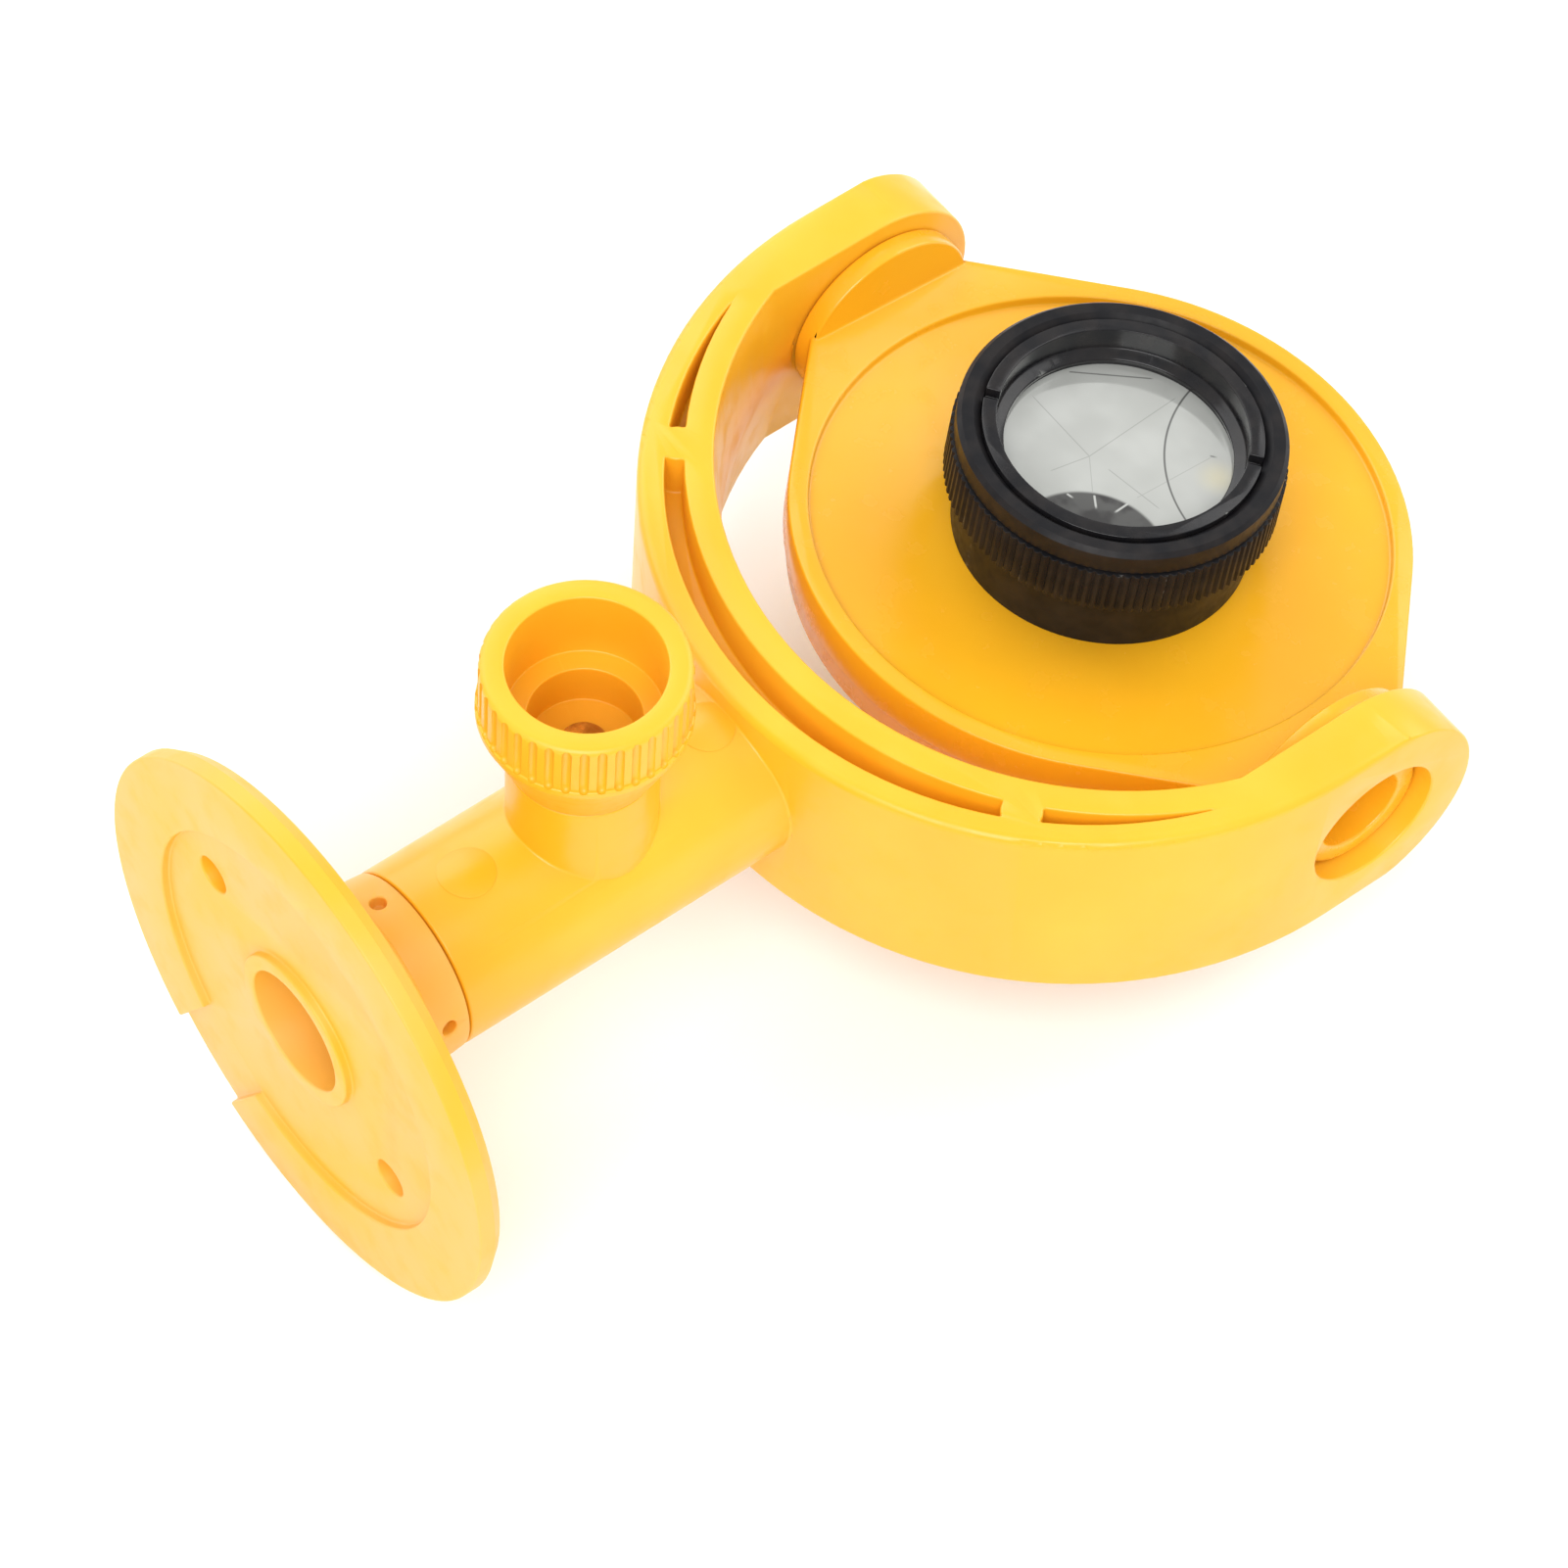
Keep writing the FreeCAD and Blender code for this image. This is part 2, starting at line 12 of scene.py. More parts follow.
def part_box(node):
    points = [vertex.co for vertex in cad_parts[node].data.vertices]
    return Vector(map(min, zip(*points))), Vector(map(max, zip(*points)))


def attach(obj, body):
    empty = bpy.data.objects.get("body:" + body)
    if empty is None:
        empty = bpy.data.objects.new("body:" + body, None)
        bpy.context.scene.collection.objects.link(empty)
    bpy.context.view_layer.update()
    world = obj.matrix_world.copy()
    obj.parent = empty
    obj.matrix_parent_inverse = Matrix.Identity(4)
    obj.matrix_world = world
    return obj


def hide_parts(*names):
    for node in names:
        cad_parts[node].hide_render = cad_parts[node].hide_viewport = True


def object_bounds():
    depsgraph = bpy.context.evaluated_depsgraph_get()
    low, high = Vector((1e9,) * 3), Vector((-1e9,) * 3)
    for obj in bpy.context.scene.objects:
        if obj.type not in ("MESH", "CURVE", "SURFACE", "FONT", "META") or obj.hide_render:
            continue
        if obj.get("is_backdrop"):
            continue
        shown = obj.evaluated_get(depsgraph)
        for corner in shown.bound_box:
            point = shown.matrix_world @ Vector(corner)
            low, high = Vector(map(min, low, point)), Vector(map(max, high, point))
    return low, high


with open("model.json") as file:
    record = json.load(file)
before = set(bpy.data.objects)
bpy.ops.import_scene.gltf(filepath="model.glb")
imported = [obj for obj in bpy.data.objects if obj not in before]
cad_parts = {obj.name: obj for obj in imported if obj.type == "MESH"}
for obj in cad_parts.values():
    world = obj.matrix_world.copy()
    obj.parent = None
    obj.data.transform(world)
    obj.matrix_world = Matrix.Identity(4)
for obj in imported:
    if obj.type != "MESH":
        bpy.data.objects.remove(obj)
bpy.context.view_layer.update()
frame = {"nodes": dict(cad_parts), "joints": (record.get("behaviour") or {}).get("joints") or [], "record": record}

log = logging.getLogger("survey_prism")

MM = 0.001
FULL_TURN = 2 * math.pi

CAD_WELD = 0.0005 * MM
SPIN_WELD = 0.001 * MM
FLAT_DEGREES = 0.4
CORNER_DEGREES = 40.0
SMOOTH_DEGREES = 32.0
EDGE_STEPS = 3
CORNER_STEPS = 4


class Body(Enum):
    """The bodies that the pieces ride on."""

    BASE = "base"
    FORK = "fork"
    KNOB = "knob"
    TARGET = "target"


class Colour(Enum):
    """Colours that several finishes share, as linear red, green, blue and alpha."""

    SUN_YELLOW = (0.88, 0.48, 0.026, 1.0)
    EGG_YELLOW = (0.86, 0.43, 0.015, 1.0)
    SAND_YELLOW = (0.86, 0.44, 0.075, 1.0)
    AMBER = (0.86, 0.41, 0.014, 1.0)
    SOOT = (0.0075, 0.0075, 0.009, 1.0)
    CHARCOAL = (0.016, 0.014, 0.014, 1.0)
    SILVER = (0.55, 0.56, 0.53, 1.0)
    PEWTER = (0.43, 0.44, 0.41, 1.0)
    STRAW = (0.86, 0.74, 0.38, 1.0)
    BRASS = (0.60, 0.33, 0.07, 1.0)
    # Tarnished brass, darkened further as painted shade where the pin head sits in the knob's floor.
    OLD_BRASS = (0.40, 0.17, 0.025, 1.0)
    PAPER = (0.97, 0.97, 0.97, 1.0)
    WHITE = (1.0, 1.0, 1.0, 1.0)


def axis_point(joint_name: str) -> Vector:
    """The point that a joint of the record turns about.

    Args:
        joint_name: the joint's name in the record.

    Returns:
        The point, in metres.
    """
    for joint in frame["joints"]:
        if joint["name"] == joint_name:
            return Vector(joint["pos_m"])
    raise KeyError(joint_name)


def mount_axis(mount_name: str) -> Vector:
    """The axis of a mount of the record.

    Args:
        mount_name: the mount's name in the record.

    Returns:
        The axis as a unit vector.
    """
    for mount in frame["record"]["mounts"]:
        if mount["name"] == mount_name:
            return Vector(mount["axis"]).normalized()
    raise KeyError(mount_name)


@dataclass(frozen=True)
class Band:
    """Two values that a pattern is carried from, or to."""

    low: float
    high: float


FULL = Band(0.0, 1.0)


@dataclass(frozen=True)
class Grain:
    """Noise: the grain's size in metres, its octaves and the values that it is read between."""

    size: float
    octaves: float
    band: Band = FULL


class Graph:
    """A material's node graph, with short calls for the nodes that the finishes share."""

    def __init__(self, name: str) -> None:
        """Starts a material with a plain shader.

        Args:
            name: the material's name.
        """
        self.material = bpy.data.materials.new(name)
        self.material.use_nodes = True
        self.tree = self.material.node_tree
        self.shader = self.tree.nodes["Principled BSDF"]

    def node(self, kind: str, **settings: object) -> Node:
        """Adds a node.

        Args:
            kind: the node's type.
            settings: attributes to set on it.

        Returns:
            The new node.
        """
        made = self.tree.nodes.new(kind)
        for key, value in settings.items():
            setattr(made, key, value)
        return made

    def link(self, source: NodeSocket, target: NodeSocket) -> None:
        """Joins an output to an input."""
        self.tree.links.new(source, target)

    def feed(self, source: NodeSocket, socket_name: str) -> None:
        """Joins an output to one of the shader's inputs."""
        self.link(source, self.shader.inputs[socket_name])

    def math(self, operation: str, first: object, second: object = None) -> NodeSocket:
        """Adds a sum.

        Args:
            operation: what is worked out.
            first: a socket or a number.
            second: a socket, a number, or nothing where one value is enough.

        Returns:
            The result's socket.
        """
        made = self.node("ShaderNodeMath", operation=operation)
        for socket, value in zip(made.inputs, (first, second)):
            if isinstance(value, NodeSocket):
                self.link(value, socket)
            elif value is not None:
                socket.default_value = value
        return made.outputs[0]

    def place(self, centre: Vector = Vector(), tilt: float = 0.0) -> NodeSocket:
        """Object coordinates, moved to a centre and turned about X.

        Args:
            centre: the point that becomes the origin, in metres.
            tilt: the turn about X, in radians.

        Returns:
            The vector's socket.
        """
        coordinates = self.node("ShaderNodeTexCoord")
        mapping = self.node("ShaderNodeMapping")
        mapping.inputs["Rotation"].default_value = (tilt, 0.0, 0.0)
        mapping.inputs["Location"].default_value = -(Matrix.Rotation(tilt, 3, "X") @ centre)
        self.link(coordinates.outputs["Object"], mapping.inputs["Vector"])
        return mapping.outputs[0]

    def split(self, vector: NodeSocket) -> tuple[NodeSocket, NodeSocket, NodeSocket]:
        """Parts a vector.

        Args:
            vector: the vector's socket.

        Returns:
            The sockets of its x, y and z.
        """
        made = self.node("ShaderNodeSeparateXYZ")
        self.link(vector, made.inputs[0])
        return tuple(made.outputs)

    def edges(self) -> NodeSocket:
        """How far the surface points outwards, above a half on an edge."""
        return self.node("ShaderNodeNewGeometry").outputs["Pointiness"]

    def noise(self, grain: Grain, vector: NodeSocket) -> NodeSocket:
        """Noise with a given grain.

        Args:
            grain: the grain.
            vector: where the noise is read.

        Returns:
            The noise's value, about 0 to 1.
        """
        made = self.node("ShaderNodeTexNoise")
        made.inputs["Scale"].default_value = 1.0 / grain.size
        made.inputs["Detail"].default_value = grain.octaves
        self.link(vector, made.inputs["Vector"])
        return made.outputs["Fac"]

    def ramp(self, value: NodeSocket, source: Band, target: Band) -> NodeSocket:
        """Carries a value smoothly from one band to another, and holds it at both ends.

        Args:
            value: the value's socket.
            source: the band that it is read over.
            target: the band that it is carried to.

        Returns:
            The carried value's socket.
        """
        made = self.node("ShaderNodeMapRange", interpolation_type="SMOOTHSTEP")
        self.link(value, made.inputs["Value"])
        made.inputs["From Min"].default_value = source.low
        made.inputs["From Max"].default_value = source.high
        made.inputs["To Min"].default_value = target.low
        made.inputs["To Max"].default_value = target.high
        return made.outputs["Result"]

    def layer(self, grain: Grain, vector: NodeSocket, target: Band = FULL) -> NodeSocket:
        """Noise read at a vector and carried from its grain's band to another band."""
        return self.ramp(self.noise(grain, vector), grain.band, target)

    def blend(self, share: NodeSocket, first: object, second: object) -> NodeSocket:
        """Mixes two colours.

        Args:
            share: how much of the second is taken, from 0 to 1.
            first: a socket or a Colour.
            second: a socket or a Colour.

        Returns:
            The mixed colour's socket.
        """
        made = self.node("ShaderNodeMix", data_type="RGBA")
        colours = [socket for socket in made.inputs if socket.type == "RGBA"]
        self.link(share, made.inputs[0])
        for socket, value in zip(colours, (first, second)):
            if isinstance(value, NodeSocket):
                self.link(value, socket)
            else:
                socket.default_value = value.value
        return next(socket for socket in made.outputs if socket.type == "RGBA")

    def highest(self, values: list[NodeSocket]) -> NodeSocket:
        """The highest of several values.

        Args:
            values: the values' sockets.

        Returns:
            The highest value's socket.
        """
        found = values[0]
        for value in values[1:]:
            found = self.math("MAXIMUM", found, value)
        return found

    def bump(self, height: NodeSocket, depth: float) -> None:
        """Raises the surface by a pattern.

        Args:
            height: the pattern's socket.
            depth: how high its value of 1 stands, in metres.
        """
        made = self.node("ShaderNodeBump")
        made.inputs["Strength"].default_value = 1.0
        made.inputs["Distance"].default_value = depth
        self.link(height, made.inputs["Height"])
        self.feed(made.outputs["Normal"], "Normal")

    def constant(self, **values: object) -> None:
        """Sets the shader's sockets, named with underscores for spaces."""
        for key, value in values.items():
            self.shader.inputs[key.replace("_", " ")].default_value = value


@dataclass(frozen=True)
class MouldedPlastic:
    """Yellow moulded plastic: cloudy tone, orange peel, corners lightened as rubbed wear and as painted edge
    highlight, and faint scuffs.
    """

    name: str
    light: Colour
    deep: Colour
    roughness: float
    cloud: Grain = Grain(22 * MM, 3, Band(0.3, 0.7))
    scuff: Grain = Grain(4 * MM, 6, Band(0.45, 0.75))
    scuff_dulling: float = 0.14
    peel: Grain = Grain(0.55 * MM, 2)
    peel_depth: float = 0.006 * MM
    corner: Band = Band(0.52, 0.6)
    # How far sharp edges are lightened: partly rubbed wear, partly painted edge highlight.
    rubbed_and_highlit: Band = Band(0.0, 0.35)
    index: float = 1.49
    glow: float = 0.04
    glow_depth: float = 1.2 * MM
    glow_reach: tuple[float, float, float] = (1.0, 0.55, 0.12)

    def build(self) -> Material:
        """Makes the material.

        Returns:
            The material.
        """
        graph = Graph(self.name)
        place = graph.place()
        body = graph.blend(graph.layer(self.cloud, place), self.light, self.deep)
        # Sharp edges are lightened towards sun yellow: partly rubbed wear, partly painted edge highlight.
        rubbed_and_highlit = graph.ramp(graph.edges(), self.corner, self.rubbed_and_highlit)
        graph.feed(graph.blend(rubbed_and_highlit, body, Colour.SUN_YELLOW), "Base Color")
        dulled = Band(self.roughness, self.roughness + self.scuff_dulling)
        graph.feed(graph.layer(self.scuff, place, dulled), "Roughness")
        graph.bump(graph.noise(self.peel, place), self.peel_depth)
        graph.constant(IOR=self.index, Subsurface_Weight=self.glow, Subsurface_Scale=self.glow_depth,
                       Subsurface_Radius=self.glow_reach)
        return graph.material


@dataclass(frozen=True)
class AnodisedMetal:
    """Black anodised metal: turning lines about the housing's axis and bare specks on edges."""

    name: str
    centre: Vector
    tilt: float
    roughness: float = 0.38
    shine: float = 0.16
    coat: float = 0.0
    coat_roughness: float = 0.10
    index: float = 1.5
    tone: Grain = Grain(3 * MM, 4, Band(0.35, 0.7))
    speck: Grain = Grain(0.5 * MM, 2, Band(0.5, 0.62))
    corner: Band = Band(0.56, 0.66)
    bare: Band = Band(0.0, 0.3)
    haze: Grain = Grain(1.6 * MM, 5, Band(0.35, 0.7))
    haze_dulling: float = 0.12
    line_pitch: float = 0.09 * MM
    line_depth: float = 0.0008 * MM

    def turning_lines(self, graph: Graph, place: NodeSocket) -> NodeSocket:
        """Fine rings about the axis, on faces and walls alike.

        Args:
            graph: the material's graph.
            place: coordinates with Z along the axis.

        Returns:
            The rings' socket.
        """
        x, y, z = graph.split(place)
        squares = graph.math("ADD", graph.math("POWER", x, 2.0), graph.math("POWER", y, 2.0))
        reach = graph.math("ADD", graph.math("SQRT", squares), z)
        return graph.math("SINE", graph.math("MULTIPLY", reach, FULL_TURN / self.line_pitch))

    def build(self) -> Material:
        """Makes the material.

        Returns:
            The material.
        """
        graph = Graph(self.name)
        place = graph.place(self.centre, self.tilt)
        body = graph.blend(graph.layer(self.tone, place), Colour.SOOT, Colour.CHARCOAL)
        edge = graph.ramp(graph.edges(), self.corner, self.bare)
        worn = graph.math("MULTIPLY", edge, graph.layer(self.speck, place))
        graph.feed(graph.blend(worn, body, Colour.PEWTER), "Base Color")
        graph.bump(self.turning_lines(graph, place), self.line_depth)
        dulled = Band(self.roughness, self.roughness + self.haze_dulling)
        graph.feed(graph.layer(self.haze, place, dulled), "Roughness")
        graph.constant(IOR=self.index, Specular_IOR_Level=self.shine, Coat_Weight=self.coat,
                       Coat_Roughness=self.coat_roughness)
        return graph.material


@dataclass(frozen=True)
class TurnedBrass:
    """Turned brass with darker patches of tarnish, dark enough to serve as painted shade on the pin head at the
    knob's floor.
    """

    name: str
    tarnish_and_shade: Grain = Grain(1.1 * MM, 5, Band(0.35, 0.7))
    roughness: Band = Band(0.25, 0.45)
    tool_mark: Grain = Grain(0.15 * MM, 2)
    tool_mark_depth: float = 0.003 * MM

    def build(self) -> Material:
        """Makes the material.

        Returns:
            The material.
        """
        graph = Graph(self.name)
        place = graph.place()
        tarnish_and_shade = graph.layer(self.tarnish_and_shade, place)
        # The darker brass is partly tarnish and partly painted shade on the pin head in the knob's floor.
        graph.feed(graph.blend(tarnish_and_shade, Colour.BRASS, Colour.OLD_BRASS), "Base Color")
        graph.feed(graph.ramp(tarnish_and_shade, FULL, self.roughness), "Roughness")
        graph.bump(graph.noise(self.tool_mark, place), self.tool_mark_depth)
        graph.constant(Metallic=1.0)
        return graph.material


@dataclass(frozen=True)
class SoftRubber:
    """Matte black rubber with a fine grain and a dusty bloom."""

    name: str
    bloom: Grain = Grain(2 * MM, 4, Band(0.4, 0.7))
    bloom_share: Band = Band(0.0, 0.7)
    roughness: Band = Band(0.62, 0.8)
    pore: Grain = Grain(0.12 * MM, 3)
    pore_depth: float = 0.006 * MM

    def build(self) -> Material:
        """Makes the material.

        Returns:
            The material.
        """
        graph = Graph(self.name)
        place = graph.place()
        bloom = graph.layer(self.bloom, place, self.bloom_share)
        graph.feed(graph.blend(bloom, Colour.SOOT, Colour.CHARCOAL), "Base Color")
        graph.feed(graph.ramp(bloom, self.bloom_share, self.roughness), "Roughness")
        graph.bump(graph.noise(self.pore, place), self.pore_depth)
        return graph.material


FACET_APEX = (-1.4, -2.9)


@dataclass(frozen=True)
class Stroke:
    """A straight line on the glass: start and sizes in millimetres, heading in degrees, strength."""

    start: tuple[float, float]
    heading: float
    length: float
    width: float
    strength: float


@dataclass(frozen=True)
class Spot:
    """A circle on the glass, in millimetres."""

    centre: tuple[float, float]
    radius: float


@dataclass(frozen=True)
class SilveredGlass:
    """The prism's face: pale silver, the facets' edges, a dark arc, the rim's painted reflection, a painted warm
    reflection and painted glints.

    Strokes and spots are in millimetres across and up the plate from its pivot.
    """

    name: str
    centre: Vector
    tilt: float
    left_edge: Stroke = Stroke(FACET_APEX, 179.0, 10.3, 0.08, 0.30)
    upper_edge: Stroke = Stroke(FACET_APEX, 95.5, 13.8, 0.08, 0.28)
    lower_edge: Stroke = Stroke(FACET_APEX, 262.0, 5.2, 0.08, 0.28)
    right_edge: Stroke = Stroke(FACET_APEX, 324.5, 7.0, 0.07, 0.22)
    cross_seam: Stroke = Stroke((1.2, -2.3), 9.0, 7.6, 0.08, 0.30)
    upright_seam: Stroke = Stroke((6.0, -2.2), 90.0, 10.9, 0.07, 0.20)
    far_chord: Stroke = Stroke((-12.0, 3.0), 51.5, 9.5, 0.14, 0.60)
    short_dash: Stroke = Stroke((5.8, 8.5), 41.0, 0.9, 0.16, 0.60)
    left_glint: Stroke = Stroke((1.4, -8.4), 14.0, 1.0, 0.18, 1.0)
    middle_glint: Stroke = Stroke((3.2, -6.0), 327.0, 2.0, 0.18, 1.0)
    right_glint: Stroke = Stroke((6.1, -3.6), 275.0, 2.2, 0.18, 1.0)
    dark_arc: Spot = Spot((14.6, 18.1), 18.1)
    arc_width: float = 0.17
    arc_strength: float = 0.75
    mirrored_rim: Spot = Spot((9.2, -11.9), 9.0)
    rim_softness: float = 0.5
    rim_strength: float = 0.96
    # A painted warm reflection: a soft straw-coloured disc on the glass.
    warm_reflection_spot: Spot = Spot((8.7, 7.2), 3.2)
    warm_reflection_strength: float = 0.35
    core_share: float = 0.3
    start_fade: Band = Band(-0.1 * MM, 0.1 * MM)
    end_fade: float = 0.6
    mottle: Grain = Grain(3 * MM, 2, Band(0.4, 0.62))
    mottle_share: Band = Band(0.88, 1.0)
    mist: Grain = Grain(7 * MM, 2, Band(0.3, 0.7))
    mist_share: Band = Band(0.0, 0.6)
    roughness: Band = Band(0.06, 0.12)
    silvering: float = 0.35
    index: float = 1.52
    coat_roughness: float = 0.02

    def fade(self, graph: Graph, distance: NodeSocket, width: float, strength: float) -> NodeSocket:
        """Full strength near a line, and nothing past its width in millimetres."""
        core = Band(self.core_share * width * MM, width * MM)
        return graph.ramp(graph.math("ABSOLUTE", distance), core, Band(strength, 0.0))

    def stroke(self, graph: Graph, x: NodeSocket, y: NodeSocket, line: Stroke) -> NodeSocket:
        """How strongly a straight line shows at a point.

        Args:
            graph: the material's graph.
            x: the point across the plate, in metres.
            y: the point up the plate, in metres.
            line: the line.

        Returns:
            The strength's socket.
        """
        turn = math.radians(line.heading)
        off_x = graph.math("SUBTRACT", x, line.start[0] * MM)
        off_y = graph.math("SUBTRACT", y, line.start[1] * MM)
        along = graph.math("ADD", graph.math("MULTIPLY", off_x, math.cos(turn)),
                           graph.math("MULTIPLY", off_y, math.sin(turn)))
        across = graph.math("SUBTRACT", graph.math("MULTIPLY", off_x, math.sin(turn)),
                            graph.math("MULTIPLY", off_y, math.cos(turn)))
        begins = graph.ramp(along, self.start_fade, FULL)
        last = Band((line.length - self.end_fade) * MM, line.length * MM)
        ends = graph.ramp(along, last, Band(1.0, 0.0))
        thin = self.fade(graph, across, line.width, line.strength)
        return graph.math("MULTIPLY", thin, graph.math("MULTIPLY", begins, ends))

    def reach(self, graph: Graph, x: NodeSocket, y: NodeSocket, spot: Spot) -> NodeSocket:
        """The distance from a circle's centre.

        Args:
            graph: the material's graph.
            x: the point across the plate, in metres.
            y: the point up the plate, in metres.
            spot: the circle.

        Returns:
            The distance's socket, in metres.
        """
        off_x = graph.math("POWER", graph.math("SUBTRACT", x, spot.centre[0] * MM), 2.0)
        off_y = graph.math("POWER", graph.math("SUBTRACT", y, spot.centre[1] * MM), 2.0)
        return graph.math("SQRT", graph.math("ADD", off_x, off_y))

    def disc(self, graph: Graph, distance: NodeSocket, inner: float, outer: float,
             strength: float) -> NodeSocket:
        """Full strength within the inner radius, and nothing past the outer, in millimetres."""
        return graph.ramp(distance, Band(inner * MM, outer * MM), Band(strength, 0.0))

    def build(self) -> Material:
        """Makes the material.

        Returns:
            The material.
        """
        graph = Graph(self.name)
        place = graph.place(self.centre, self.tilt)
        x, y, _ = graph.split(place)
        seams = (self.left_edge, self.upper_edge, self.lower_edge, self.right_edge, self.cross_seam,
                 self.upright_seam, self.far_chord, self.short_dash)
        dark = [self.stroke(graph, x, y, line) for line in seams]
        off_arc = graph.math("SUBTRACT", self.reach(graph, x, y, self.dark_arc),
                             self.dark_arc.radius * MM)
        dark.append(self.fade(graph, off_arc, self.arc_width, self.arc_strength))
        rim_radius = self.mirrored_rim.radius
        rim = self.disc(graph, self.reach(graph, x, y, self.mirrored_rim),
                        rim_radius - self.rim_softness, rim_radius, self.rim_strength)
        dark.append(graph.math("MULTIPLY", rim, graph.layer(self.mottle, place, self.mottle_share)))
        mist = graph.layer(self.mist, place, self.mist_share)
        # Painted warm reflection, blended towards straw.
        warm_reflection = self.disc(graph, self.reach(graph, x, y, self.warm_reflection_spot), 0.0, self.warm_reflection_spot.radius,
                         self.warm_reflection_strength)
        glints = [self.stroke(graph, x, y, line)
                  for line in (self.left_glint, self.middle_glint, self.right_glint)]
        face = graph.blend(mist, Colour.SILVER, Colour.PEWTER)
        face = graph.blend(warm_reflection, face, Colour.STRAW)
        face = graph.blend(graph.highest(dark), face, Colour.CHARCOAL)
        graph.feed(graph.blend(graph.highest(glints), face, Colour.SILVER), "Base Color")
        graph.feed(graph.ramp(mist, self.mist_share, self.roughness), "Roughness")
        graph.constant(Metallic=self.silvering, IOR=self.index, Coat_Weight=1.0,
                       Coat_Roughness=self.coat_roughness)
        return graph.material


class Bench:
    """Shapes meshes with edit-mode operators and applied modifiers."""

    @staticmethod
    def clear() -> None:
        """Deselects every object."""
        bpy.ops.object.select_all(action="DESELECT")

    @staticmethod
    def only(piece: Object) -> None:
        """Selects one object and makes it active.

        Args:
            piece: the object.
        """
        Bench.clear()
        piece.select_set(True)
        bpy.context.view_layer.objects.active = piece

    @staticmethod
    def settle(piece: Object) -> Object:
        """Moves a piece's place into its mesh, so that its object sits at the origin.

        Args:
            piece: the piece.

        Returns:
            The same piece.
        """
        Bench.only(piece)
        bpy.ops.object.transform_apply(location=True, rotation=True, scale=True)
        return piece

    @staticmethod
    def apply(piece: Object, kind: str, **settings: object) -> None:
        """Adds a modifier and applies it.

        Args:
            piece: the object to modify.
            kind: the modifier's type.
            settings: attributes to set on it.
        """
        Bench.only(piece)
        modifier = piece.modifiers.new(kind.lower(), kind)
        for key, value in settings.items():
            setattr(modifier, key, value)
        bpy.ops.object.modifier_apply(modifier=modifier.name)

    @staticmethod
    def combine(piece: Object, other: Object, operation: str) -> None:
        """Cuts a piece with another, or keeps what they share, and deletes the other."""
        Bench.apply(piece, "BOOLEAN", operation=operation, solver="EXACT", object=other)
        bpy.data.objects.remove(other)

    @staticmethod
    def smooth(piece: Object, degrees: float = SMOOTH_DEGREES) -> None:
        """Shades smooth across edges that turn less than an angle."""
        Bench.only(piece)
        bpy.ops.object.shade_smooth_by_angle(angle=math.radians(degrees))

    @staticmethod
    def from_node(node: str, name: str, edge: float, corner: float = CORNER_DEGREES) -> Object:
        """Copies a CAD node and rounds its sharp edges.

        Args:
            node: the CAD node's name.
            name: the new piece's name.
            edge: the rounding's width, in metres.
            corner: edges that turn more than this many degrees are rounded.

        Returns:
            The new piece.
        """
        mesh = frame["nodes"][node].data.copy()
        mesh.name = name
        piece = bpy.data.objects.new(name, mesh)
        bpy.context.scene.collection.objects.link(piece)
        Bench.only(piece)
        bpy.ops.object.mode_set(mode="EDIT")
        bpy.ops.mesh.select_all(action="SELECT")
        bpy.ops.mesh.remove_doubles(threshold=CAD_WELD)
        bpy.ops.mesh.customdata_custom_splitnormals_clear()
        bpy.ops.mesh.dissolve_limited(angle_limit=math.radians(FLAT_DEGREES))
        bpy.ops.object.mode_set(mode="OBJECT")
        Bench.apply(piece, "BEVEL", width=edge, segments=EDGE_STEPS, limit_method="ANGLE",
                    angle_limit=math.radians(corner), use_clamp_overlap=False,
                    miter_outer="MITER_ARC")
        Bench.smooth(piece)
        return piece

    @staticmethod
    def turned(name: str, outline: list[tuple[float, float]], centre: Vector, steps: int) -> Object:
        """Spins a closed outline about a line parallel to Z.

        Args:
            name: the new piece's name.
            outline: (radius, height) points, in metres.
            centre: the point of the line that heights are counted from.
            steps: how many faces go round.

        Returns:
            The new piece.
        """
        Bench.clear()
        start = centre + Vector((outline[0][0], 0.0, outline[0][1]))
        bpy.ops.mesh.primitive_plane_add(size=MM, location=start)
        piece = bpy.context.active_object
        piece.name = name
        Bench.settle(piece)
        bpy.ops.object.mode_set(mode="EDIT")
        bpy.ops.mesh.select_all(action="SELECT")
        bpy.ops.mesh.merge(type="CENTER")
        for (r_from, h_from), (r_to, h_to) in zip(outline, outline[1:] + outline[:1]):
            step = (r_to - r_from, 0.0, h_to - h_from)
            bpy.ops.mesh.extrude_region_move(TRANSFORM_OT_translate={"value": step})
        bpy.ops.mesh.select_all(action="SELECT")
        bpy.ops.mesh.remove_doubles(threshold=SPIN_WELD)
        bpy.ops.mesh.spin(steps=steps, angle=FULL_TURN, center=centre, axis=(0, 0, 1))
        bpy.ops.mesh.select_all(action="SELECT")
        bpy.ops.mesh.remove_doubles(threshold=SPIN_WELD)
        bpy.ops.mesh.normals_make_consistent(inside=False)
        bpy.ops.object.mode_set(mode="OBJECT")
        return piece


